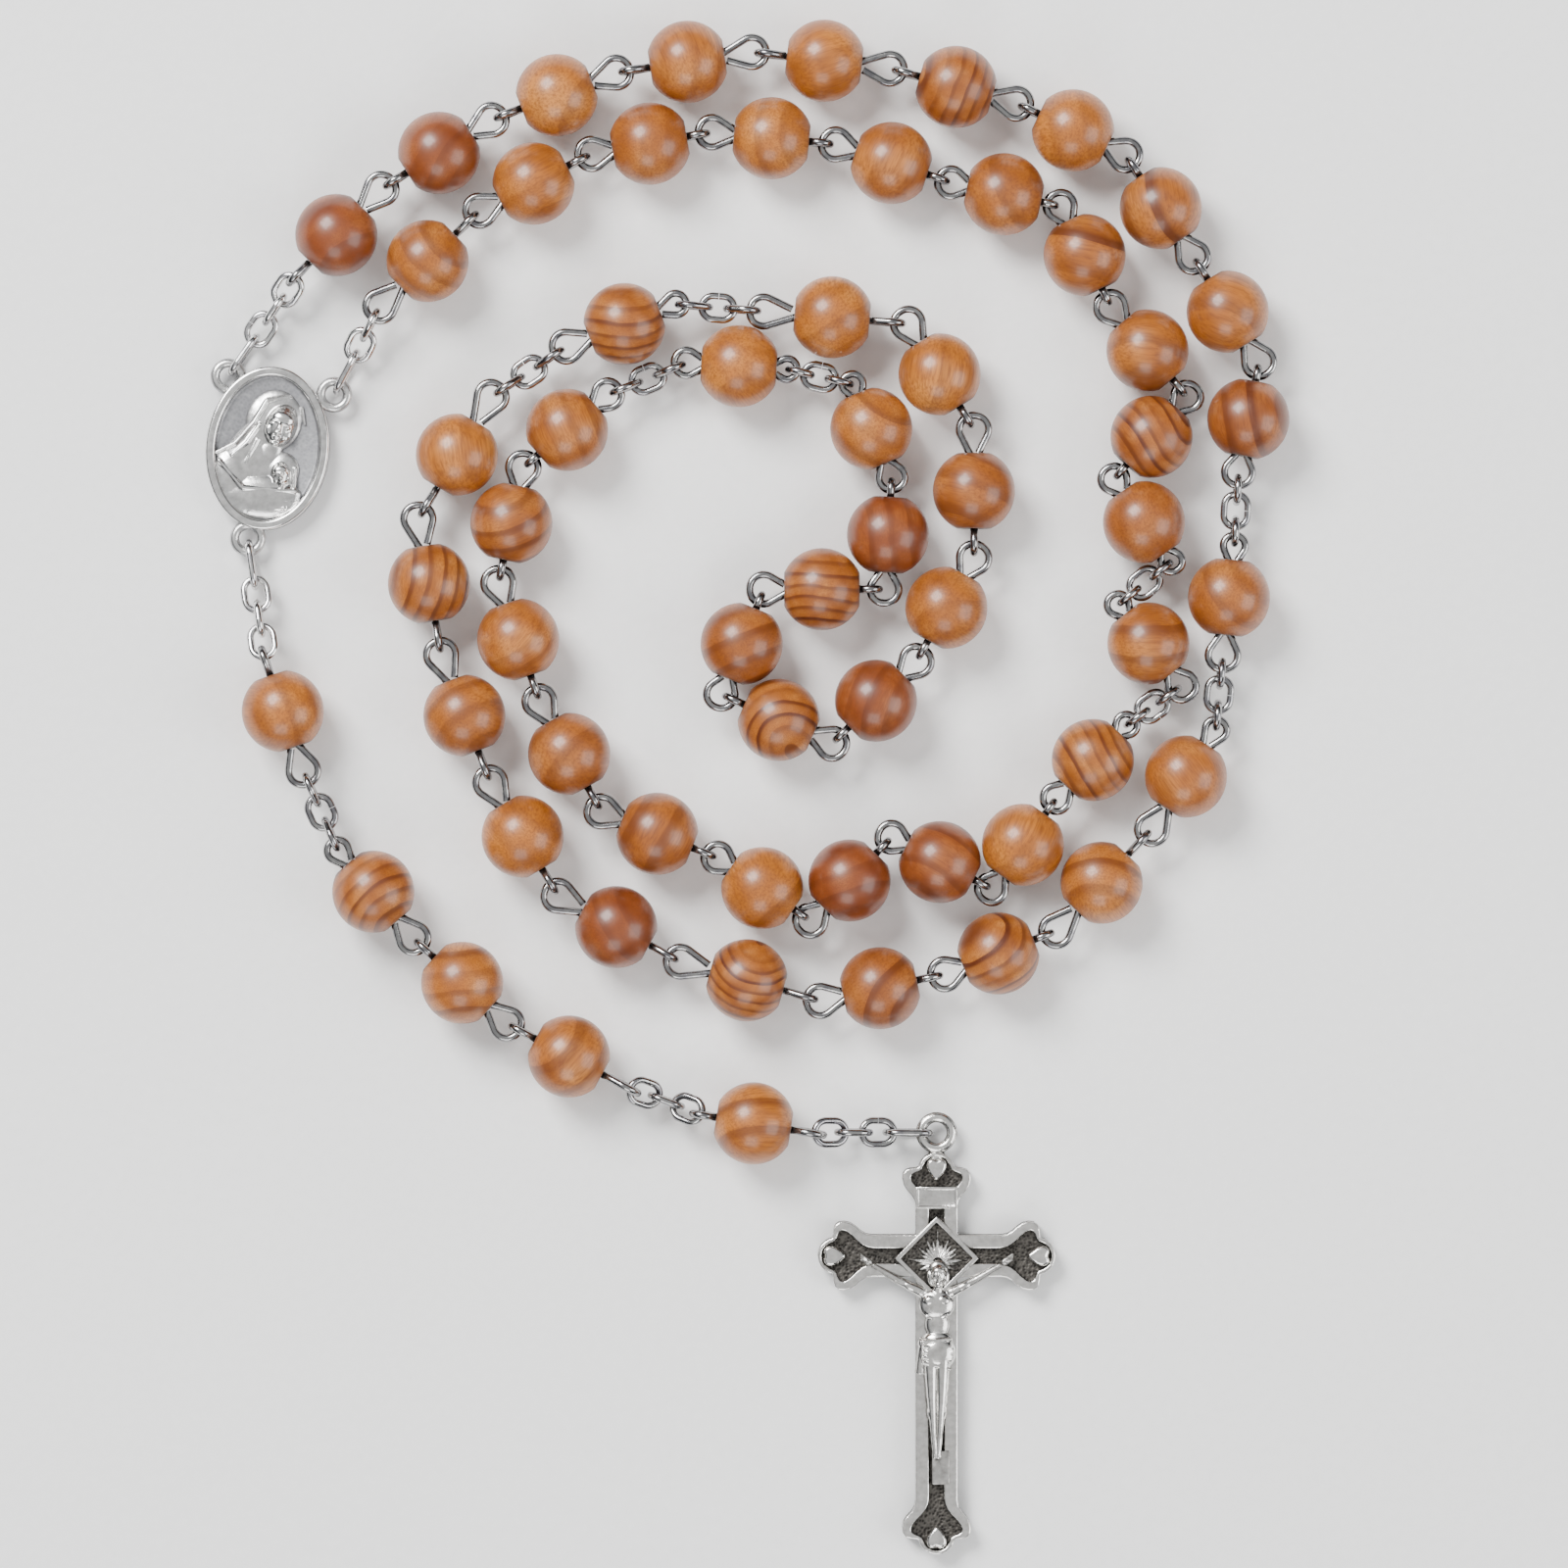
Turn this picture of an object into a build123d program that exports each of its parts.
# Rosary: a loop of five decades of wooden beads on wire eye pins, joined by short
# chains to a medal, with a pendant chain that ends in a crucifix.
# Units are millimetres.  It lies on the plane z = 0; +Y runs up the loop, the crucifix is at -Y.
import os
from math import asin, atan2, cos, degrees, hypot, pi, sin, tan

from build123d import *

os.makedirs("parts", exist_ok=True)

# ---- driving dimensions -------------------------------------------------------------
BEAD_DIAMETER = 8.0
BEAD_LENGTH = 7.4          # along the hole
BEAD_HOLE = 2.2
BEAD_CROWN_RADIUS = 5.2    # the flatter curve round the middle of the bead
BEAD_CROWN_HALF = 1.5      # half the length of that curve along the hole
BEAD_MOUTH = 2.8           # diameter of the eased edge of the hole
PIN_WIRE = 0.75
LINK_WIRE = 0.7
GAP = 0.1                  # air left between two hooked wires
BIG_EYE_RADIUS = 1.4       # centre line of the wire
SMALL_EYE_RADIUS = 1.05
BIG_EYE_REACH = 4.2        # bead face to the far centre line of the eye
SMALL_EYE_REACH = 3.0
NECK_DEPTH = 0.9           # how far inside the bead the wire starts to open into its eye
NECK_BEND = 0.7
ROUNDING = 0.97            # share of the eye's corner that is rounded
LINK_RADIUS = 1.15
LINK_STRAIGHT = 0.9
RING_RADIUS = 1.25         # the longer rings at the medal and at the crucifix
RING_STRAIGHT = 1.9
LINK_SLIT = 0.06           # where the bent wire of a link meets itself
BEAD_LEVEL = BEAD_DIAMETER / 2
# Largest eye radius for each millimetre from where the legs part, so that they enter the hole:
EYE_PER_MIDDLE = 0.541     # counted to the eye's middle
EYE_PER_TIP = 0.351        # counted to the eye's tip
LEG_CLEARANCE = 0.44       # half the wire, less what the crossing legs may share

MEDAL_CENTRE = (-46.2, 33.2)
MEDAL_WIDTH = 12.0
MEDAL_HEIGHT = 16.0
MEDAL_TURN = -6.0          # degrees, top leaning to the right
MEDAL_THICKNESS = 2.4
MEDAL_RIM = 1.0
MEDAL_RECESS = 0.7
HEAD_UP = 1.2              # the veiled head on the medal, and the shoulders under it
HEAD_HALVES = (2.6, 3.6)
SHOULDERS_DOWN = 3.2
SHOULDER_HALVES = (4.0, 2.6)
RELIEF = 0.56              # how far they stand up
LOOP_LEVEL = 1.65          # height of the cast loops' middle plane
MEDAL_LOOP_RADIUS = 1.3
MEDAL_LOOP_BAR = 0.9
MEDAL_LOOP_A = (-50.0, 40.2)
MEDAL_LOOP_B = (-39.7, 38.4)
MEDAL_LOOP_PENDANT = (-48.1, 24.4)

CROSS_X = 19.0
CROSS_ARM_Y = -45.5
CROSS_TOP_Y = -35.4
CROSS_FOOT_Y = -74.6
CROSS_HALF_SPAN = 11.6
CROSS_BAR = 4.1
CROSS_FLARE = 6.7
CROSS_THICKNESS = 2.2
FLARE_START = 4.6          # distances back from the tip of an arm
FLARE_WIDEST = 2.6
FLARE_END = 0.9
CROSS_LOOP = (19.0, -33.5)
CROSS_LOOP_RADIUS = 1.5
CROSS_LOOP_BAR = 1.0

FIGURE_THICKNESS = 1.3
FIGURE_HEAD = 1.4          # radius
FIGURE_HEAD_DOWN = 1.4
# Right side of the figure from the chin: (half width, below the arms' middle line).
FIGURE_SIDE = [(1.7, 2.6), (6.4, -0.2), (6.6, 0.8), (1.7, 4.6), (1.2, 7.5), (1.7, 11.5),
               (0.9, 15.5), (0.8, 19.4)]

# ---- where it lies: the middle of each eye, from the start of a decade to its end --------
DECADE_1 = [(-43.2, 49.9), (-35, 58.3), (-24.3, 65), (-12.2, 69.6), (1, 71.6), (14.4, 70),
            (26.7, 66.6), (37.3, 61.6), (43.9, 51.7), (50.3, 41.5), (48.3, 30.8)]
DECADE_2 = [(46.1, 5.7), (39.9, -3.9), (30.6, -13.8), (19.8, -18), (7.7, -20.6), (-5.9, -16.8),
            (-17.8, -10.4), (-24.4, 0.6), (-29.2, 13), (-31.4, 26.2), (-24.3, 38.1)]
DECADE_3 = [(10.8, 39.3), (14.6, 30.3), (13.9, 19.4), (2.2, 19.4), (-2, 9.2), (8.8, 4.4),
            (17, 12.4), (22.6, 22.4), (22.6, 34.9), (16.2, 45.2), (2.2, 46.4)]
DECADE_4 = [(37.4, 6.2), (30.6, -0.9), (24.3, -9.7), (14.6, -4.7), (6.7, -12.8), (-2.3, -6.7),
            (-13.6, -2.2), (-19.6, 8.5), (-23.6, 20), (-21.2, 31.2), (-13, 38.3)]
DECADE_5 = [(41.8, 22.1), (36.2, 30.1), (43.3, 38.1), (35.9, 46.8), (31, 56.6), (20.4, 58.9),
            (9.2, 62.6), (-2.8, 63.8), (-14.5, 61.7), (-25.4, 56.2), (-35.1, 46.9)]
STATION_A1 = [(47.9, 23.6), (46.8, 13)]
STATION_A2 = [(-6.4, 47.1), (-17, 43)]
STATION_B1 = [(36.6, 17.9), (42.8, 10)]
STATION_B2 = [(4.4, 40.8), (-5.3, 41.4)]
PENDANT_1 = [(-46.3, 12.6), (-42.6, 1.8)]
PENDANT_2 = [(-39.2, -6), (-31.9, -14.5)]
PENDANT_3 = [(-31.9, -14.5), (-22.8, -22.8)]
PENDANT_4 = [(-22.8, -22.8), (-11.3, -28.9)]
PENDANT_5 = [(-3.7, -31.7), (6.6, -33.4)]

FLAT, UPRIGHT = 0, 1


# ---- geometry of hooked wires -------------------------------------------------------------
def unit(a, b):
    """Direction from a to b, and the distance."""
    d = Vector(*b) - Vector(*a)
    return d.normalized(), d.length


def hook_depth(eye_radius, wire_a, wire_b):
    """How far short of an eye's middle the wire hooked in it stops."""
    return eye_radius - (wire_a + wire_b) / 2 - GAP


def eye_radius_at(middle, nominal):
    """Largest eye whose legs still enter the bead, its middle this far from the bead face."""
    return min(nominal, EYE_PER_MIDDLE * (middle + NECK_DEPTH))


def tip_eye_radius(reach, nominal):
    """The same for an eye that is known by the reach of its tip."""
    return min(nominal, EYE_PER_TIP * (reach + NECK_DEPTH))


class Pin:
    """An eye pin with its bead: centre, direction and the two eyes as (plane, reach, radius)."""

    def __init__(self, start, end, start_plane, end_plane, previous=None):
        a = Vector(start[0], start[1], BEAD_LEVEL)
        b = Vector(end[0], end[1], BEAD_LEVEL)
        self.direction, span = unit(a, b)
        hooked = previous is not None
        start_neck = SMALL_EYE_REACH - SMALL_EYE_RADIUS
        depth = 0.0
        if hooked:
            depth = hook_depth(previous.end_radius, PIN_WIRE, PIN_WIRE)
            start_neck = SMALL_EYE_REACH + depth
        end_neck = BIG_EYE_REACH - BIG_EYE_RADIUS
        stretch = (span - BEAD_LENGTH) / (start_neck + end_neck)
        start_neck = start_neck * stretch
        end_neck = end_neck * stretch
        self.centre = a + self.direction * (start_neck + BEAD_LENGTH / 2)
        self.end_radius = eye_radius_at(end_neck, BIG_EYE_RADIUS)
        self.end_reach = end_neck + self.end_radius
        if hooked:
            self.start_reach = start_neck - depth
            self.start_radius = tip_eye_radius(self.start_reach, SMALL_EYE_RADIUS)
        else:
            self.start_radius = eye_radius_at(start_neck, SMALL_EYE_RADIUS)
            self.start_reach = start_neck + self.start_radius
        self.start_plane, self.end_plane = start_plane, end_plane
        self.start, self.end = a, b


def eye_points(reach, radius):
    """Centre line of half a pin and its eye, from the bead's middle: corners and their radii."""
    face = BEAD_LENGTH / 2
    neck = face - NECK_DEPTH
    slope = asin(radius / (face + reach - radius - neck))
    tip = face + reach
    corner = (tip - neck) * tan(slope)
    round_end = ROUNDING * corner / tan((pi / 2 + slope) / 2)
    stop = neck + max(NECK_DEPTH - GAP, LEG_CLEARANCE / tan(slope))
    points = [(0, 0), (neck, 0), (tip, corner), (tip, -corner), (stop, -(stop - neck) * tan(slope))]
    return points, [NECK_BEND, round_end, round_end]


def decade(points, first_plane):
    """Ten pins in a row, each hooked in the one before."""
    pins = [Pin(points[0], points[1], first_plane, FLAT)]
    for start, end in zip(points[1:-1], points[2:]):
        pins.append(Pin(start, end, UPRIGHT, FLAT, pins[-1]))
    return pins


class Link:
    """One oval link: its middle, direction, plane and size."""

    def __init__(self, start, end, plane, radius, straight):
        self.direction, _ = unit(start, end)
        self.start, self.end, self.plane = start, end, plane
        self.radius, self.straight = radius, straight
        self.centre = (Vector(*start) + Vector(*end)) * 0.5


def hanging_chain(first, last, kinds):
    """Links between two eyes, sagging in an upright plane.

    first and last are (middle, plane, centre-line radius, level) of the eyes that hold the
    chain.  An upright link turns about its own round ends, a flat one is held by them.
    """
    (p, p_plane, p_radius, p_bar), (q, q_plane, q_radius, q_bar) = first, last
    along, _ = unit((p.X, p.Y, 0), (q.X, q.Y, 0))
    sizes = [(RING_RADIUS, RING_STRAIGHT) if k == "ring" else (LINK_RADIUS, LINK_STRAIGHT)
             for k in kinds]
    plane = 1 - p_plane
    planes = [(plane + i) % 2 for i in range(len(kinds))]
    if p_plane == FLAT:
        p = p + along * (p_radius + hook_depth(sizes[0][0], p_bar, LINK_WIRE))
    if q_plane == FLAT:
        q = q - along * (q_radius + hook_depth(sizes[-1][0], q_bar, LINK_WIRE))
    radii = [(p_radius, p_bar)] + [(s[0], LINK_WIRE) for s in sizes] + [(q_radius, q_bar)]
    lengths, spare = [], []
    for i, (radius, straight) in enumerate(sizes):
        before = after = -radius
        if planes[i] == FLAT:
            before = hook_depth(radii[i][0], radii[i][1], LINK_WIRE)
            after = hook_depth(radii[i + 2][0], radii[i + 2][1], LINK_WIRE)
        lengths.append(straight + 2 * radius + before + after)
        spare.append((before, after))
    chord = (q - p).length
    low, high = 0.0, pi * 0.9
    for _ in range(60):
        turn = (low + high) / 2
        x = sum(l * cos((i - (len(lengths) - 1) / 2) * turn) for i, l in enumerate(lengths))
        y = sum(l * sin((i - (len(lengths) - 1) / 2) * turn) for i, l in enumerate(lengths))
        if hypot(x, y) > chord:
            low = turn
        else:
            high = turn
    tilt = atan2(q.Z - p.Z, hypot(q.X - p.X, q.Y - p.Y)) - atan2(y, x)
    links, at = [], p
    for i, (length, (radius, straight)) in enumerate(zip(lengths, sizes)):
        angle = (i - (len(lengths) - 1) / 2) * turn + tilt
        step = along * cos(angle) + Vector(0, 0, sin(angle))
        before, after = spare[i]
        links.append(Link(at + step * before, at + step * (length - after), planes[i],
                          radius, straight))
        at = at + step * length
    print("chain of", len(kinds), "spare length", round(sum(lengths) - chord, 2),
          "turn", round(degrees(turn)))
    return links


# ---- shapes -------------------------------------------------------------------------------
def piece_plane(centre, direction, plane):
    """Plane of an eye or link that runs along direction, lying flat or standing upright."""
    level = Vector(0, 0, 1).cross(direction).normalized()
    if plane == UPRIGHT:
        return Plane(origin=centre, x_dir=direction, z_dir=level)
    return Plane(origin=centre, x_dir=direction, z_dir=direction.cross(level))


def make_bead():
    """Turned wooden bead, its hole along X."""
    hole, mouth, half = BEAD_HOLE / 2, BEAD_MOUTH / 2, BEAD_LENGTH / 2
    dip = BEAD_CROWN_RADIUS - (BEAD_CROWN_RADIUS ** 2 - BEAD_CROWN_HALF ** 2) ** 0.5
    shoulder = BEAD_DIAMETER / 2 - dip
    with BuildPart() as bead:
        with BuildSketch(Plane.XY):
            with BuildLine():
                crown = ThreePointArc((-BEAD_CROWN_HALF, shoulder), (0, BEAD_DIAMETER / 2),
                                      (BEAD_CROWN_HALF, shoulder))
                TangentArc((BEAD_CROWN_HALF, shoulder), (half, mouth), tangent=crown % 1)
                TangentArc((-BEAD_CROWN_HALF, shoulder), (-half, mouth), tangent=(crown % 0) * -1)
                Polyline((half, mouth), (half - (mouth - hole), hole),
                         (mouth - hole - half, hole), (-half, mouth))
            make_face()
        revolve(axis=Axis.X)
    return bead.part


def make_link(radius, straight):
    """Oval link of bent wire in the XY plane, long along X, its slit in the middle of a side."""
    with BuildPart() as link:
        with BuildLine() as path:
            side = straight / 2
            Line((LINK_SLIT / 2, radius), (side, radius))
            CenterArc((side, 0), radius, 90, -180)
            Line((side, -radius), (-side, -radius))
            CenterArc((-side, 0), radius, -90, -180)
            Line((-side, radius), (-LINK_SLIT / 2, radius))
        with BuildSketch(Plane(origin=(LINK_SLIT / 2, radius, 0), z_dir=(1, 0, 0))):
            Circle(LINK_WIRE / 2)
        sweep(path=path.wires()[0])
    return link.part


NODES = {}


def group(label, solids):
    """One node from separate solids."""
    NODES[label] = Compound(label=label, children=list(solids))


def bead_group(label, pins):
    """Beads of one node, each turned to lie along its pin."""
    group(label, [BEAD.moved(piece_plane(p.centre, p.direction, FLAT).location) for p in pins])


def link_group(label, links):
    """Links of one node."""
    group(label, [(RING if k.radius == RING_RADIUS else LINK).moved(
        piece_plane(k.centre, k.direction, k.plane).location) for k in links])


def make_pin(pin):
    """One wire through a bead, bent to an eye at each end."""
    with BuildPart() as wire:
        for sense, plane, reach, radius in (
                (1, pin.end_plane, pin.end_reach, pin.end_radius),
                (-1, pin.start_plane, pin.start_reach, pin.start_radius)):
            points, rounds = eye_points(reach, radius)
            with BuildLine(piece_plane(pin.centre, pin.direction * sense, plane)) as path:
                FilletPolyline(*points, radius=rounds)
            with BuildSketch(Plane(origin=pin.centre, z_dir=pin.direction * sense)):
                Circle(PIN_WIRE / 2)
            sweep(path=path.wires()[0])
    return wire.part


def pin_group(label, pins):
    """Eye pins of one node."""
    group(label, [make_pin(p) for p in pins])


def make_medal():
    """Oval medal: raised rim, sunk field, relief of a veiled head, three cast loops."""
    turned = Plane(origin=(*MEDAL_CENTRE, 0)).rotated((0, 0, MEDAL_TURN))
    half_w, half_h = MEDAL_WIDTH / 2, MEDAL_HEIGHT / 2
    with BuildPart() as medal:
        with BuildSketch(turned):
            Ellipse(half_w, half_h)
        extrude(amount=MEDAL_THICKNESS)
        with BuildSketch(turned.offset(MEDAL_THICKNESS)):
            Ellipse(half_w - MEDAL_RIM, half_h - MEDAL_RIM)
        extrude(amount=-MEDAL_RECESS, mode=Mode.SUBTRACT)
        field = turned.offset(MEDAL_THICKNESS - MEDAL_RECESS)
        with BuildSketch(field):
            with Locations((0, HEAD_UP)):
                Ellipse(*HEAD_HALVES)
            with Locations((0, -SHOULDERS_DOWN)):
                Ellipse(*SHOULDER_HALVES)
        extrude(amount=RELIEF)
        loops = (MEDAL_LOOP_A, MEDAL_LOOP_B, MEDAL_LOOP_PENDANT)
        with Locations(*[(x, y, LOOP_LEVEL) for x, y in loops]):
            Torus(MEDAL_LOOP_RADIUS, MEDAL_LOOP_BAR / 2)
    medal.part.label = "medal"
    NODES["medal"] = medal.part


def arm_outline(length):
    """Half outline of one arm of the cross, from the middle out to its lobed end."""
    half, flare = CROSS_BAR / 2, CROSS_FLARE / 2
    return [(0, half), (length - FLARE_START, half), (length - FLARE_WIDEST, flare),
            (length - FLARE_END, half), (length, 0)]


def make_crucifix():
    """Cross with flared ends and a raised border, and the loop that it hangs from."""
    arms = ((0, CROSS_HALF_SPAN), (90, CROSS_TOP_Y - CROSS_ARM_Y), (180, CROSS_HALF_SPAN),
            (270, CROSS_ARM_Y - CROSS_FOOT_Y))
    with BuildPart() as cross:
        for angle, length in arms:
            upper = arm_outline(length)
            lower = [(x, -y) for x, y in reversed(upper[:-1])]
            with BuildSketch(Plane(origin=(CROSS_X, CROSS_ARM_Y, 0)).rotated((0, 0, angle))):
                with BuildLine():
                    Polyline(*upper, *lower, close=True)
                make_face()
            extrude(amount=CROSS_THICKNESS)
        with Locations((*CROSS_LOOP, LOOP_LEVEL)):
            Torus(CROSS_LOOP_RADIUS, CROSS_LOOP_BAR / 2)
    cross.part.label = "crucifix"
    NODES["crucifix"] = cross.part


def make_corpus():
    """Small figure on the cross, its back flat on the cross's face."""
    right = [(CROSS_X + half, CROSS_ARM_Y - down) for half, down in FIGURE_SIDE]
    left = [(CROSS_X - half, CROSS_ARM_Y - down) for half, down in reversed(FIGURE_SIDE)]
    with BuildPart() as corpus:
        with BuildSketch(Plane.XY.offset(CROSS_THICKNESS)):
            with BuildLine():
                Polyline(*right, *left, close=True)
            make_face()
            with Locations((CROSS_X, CROSS_ARM_Y - FIGURE_HEAD_DOWN)):
                Circle(FIGURE_HEAD)
        extrude(amount=FIGURE_THICKNESS)
    corpus.part.label = "corpus"
    NODES["corpus"] = corpus.part


def eye_of(pin, end):
    """Middle, plane, radius and wire of a pin's eye, as a chain needs them."""
    if end:
        return pin.end, pin.end_plane, pin.end_radius, PIN_WIRE
    return pin.start, pin.start_plane, pin.start_radius, PIN_WIRE


def loop_of(centre, radius, bar):
    """The same for a cast loop."""
    return Vector(*centre, LOOP_LEVEL), FLAT, radius, bar


THREE = ("link", "link", "link")
DECADES = {1: decade(DECADE_1, UPRIGHT), 2: decade(DECADE_2, FLAT), 3: decade(DECADE_3, FLAT),
           4: decade(DECADE_4, FLAT), 5: decade(DECADE_5, FLAT)}
STATIONS = {"a1": Pin(*STATION_A1, FLAT, FLAT), "a2": Pin(*STATION_A2, FLAT, FLAT),
            "b1": Pin(*STATION_B1, FLAT, FLAT), "b2": Pin(*STATION_B2, FLAT, FLAT)}
PENDANT = [Pin(*PENDANT_1, UPRIGHT, FLAT), Pin(*PENDANT_2, FLAT, FLAT)]
PENDANT.append(Pin(*PENDANT_3, UPRIGHT, FLAT, PENDANT[1]))
PENDANT.append(Pin(*PENDANT_4, UPRIGHT, UPRIGHT, PENDANT[2]))
PENDANT.append(Pin(*PENDANT_5, UPRIGHT, UPRIGHT))

MEDAL_A = loop_of(MEDAL_LOOP_A, MEDAL_LOOP_RADIUS, MEDAL_LOOP_BAR)
MEDAL_B = loop_of(MEDAL_LOOP_B, MEDAL_LOOP_RADIUS, MEDAL_LOOP_BAR)
MEDAL_P = loop_of(MEDAL_LOOP_PENDANT, MEDAL_LOOP_RADIUS, MEDAL_LOOP_BAR)
CROSS_EYE = loop_of(CROSS_LOOP, CROSS_LOOP_RADIUS, CROSS_LOOP_BAR)

CHAINS = {
    "chain_a_medal": (MEDAL_A, eye_of(DECADES[1][0], False), ("ring",) + THREE),
    "chain_a1_before": (eye_of(DECADES[1][-1], True), eye_of(STATIONS["a1"], False), THREE),
    "chain_a1_after": (eye_of(STATIONS["a1"], True), eye_of(DECADES[2][0], False), THREE),
    "chain_a2_before": (eye_of(DECADES[2][-1], True), eye_of(STATIONS["a2"], True), THREE),
    "chain_a2_after": (eye_of(STATIONS["a2"], False), eye_of(DECADES[3][-1], True), THREE),
    "chain_b_medal": (MEDAL_B, eye_of(DECADES[5][-1], True), ("ring", "link", "link")),
    "chain_b1_before": (eye_of(DECADES[5][0], False), eye_of(STATIONS["b1"], False), THREE),
    "chain_b1_after": (eye_of(STATIONS["b1"], True), eye_of(DECADES[4][0], False), THREE),
    "chain_b2_before": (eye_of(DECADES[4][-1], True), eye_of(STATIONS["b2"], True), THREE),
    "chain_b2_after": (eye_of(STATIONS["b2"], False), eye_of(DECADES[3][0], False), THREE),
    "pendant_chain_1": (MEDAL_P, eye_of(PENDANT[0], False), ("ring",) + THREE),
    "pendant_chain_2": (eye_of(PENDANT[0], True), eye_of(PENDANT[1], False), THREE),
    "pendant_chain_3": (eye_of(PENDANT[3], True), eye_of(PENDANT[4], False), THREE),
    "pendant_chain_4": (eye_of(PENDANT[4], True), CROSS_EYE, THREE + ("ring",)),
}
LINKS = {name: hanging_chain(*chain) for name, chain in CHAINS.items()}

# ---- build --------------------------------------------------------------------------------
BEAD = make_bead()
LINK = make_link(LINK_RADIUS, LINK_STRAIGHT)
RING = make_link(RING_RADIUS, RING_STRAIGHT)

make_medal()
make_crucifix()
make_corpus()
for number, pins in DECADES.items():
    bead_group(f"decade_{number}_beads", pins)
    pin_group(f"decade_{number}_pins", pins)
for name, pin in STATIONS.items():
    bead_group(f"station_{name}_bead", [pin])
    pin_group(f"station_{name}_pin", [pin])
for number, pin in enumerate(PENDANT, 1):
    bead_group(f"pendant_bead_{number}", [pin])
    pin_group(f"pendant_pin_{number}", [pin])
for name, links in LINKS.items():
    if not name.startswith("pendant"):
        link_group(name, links)
        continue
    for place, link in enumerate(links, 1):
        link_group(f"{name}_link_{place}", [link])

# The origin is under the middle of the whole lay.
corners = [node.bounding_box() for node in NODES.values()]
low_x, high_x = min(b.min.X for b in corners), max(b.max.X for b in corners)
low_y, high_y = min(b.min.Y for b in corners), max(b.max.Y for b in corners)
low_z = min(b.min.Z for b in corners)
CENTRED = Location((-(low_x + high_x) / 2, -(low_y + high_y) / 2, -low_z))
print("lay", round(high_x - low_x, 2), "by", round(high_y - low_y, 2), "moved", CENTRED.position)
for label, node in NODES.items():
    placed = node.moved(CENTRED)
    placed.label = label
    export_step(placed, f"parts/{label}.step")
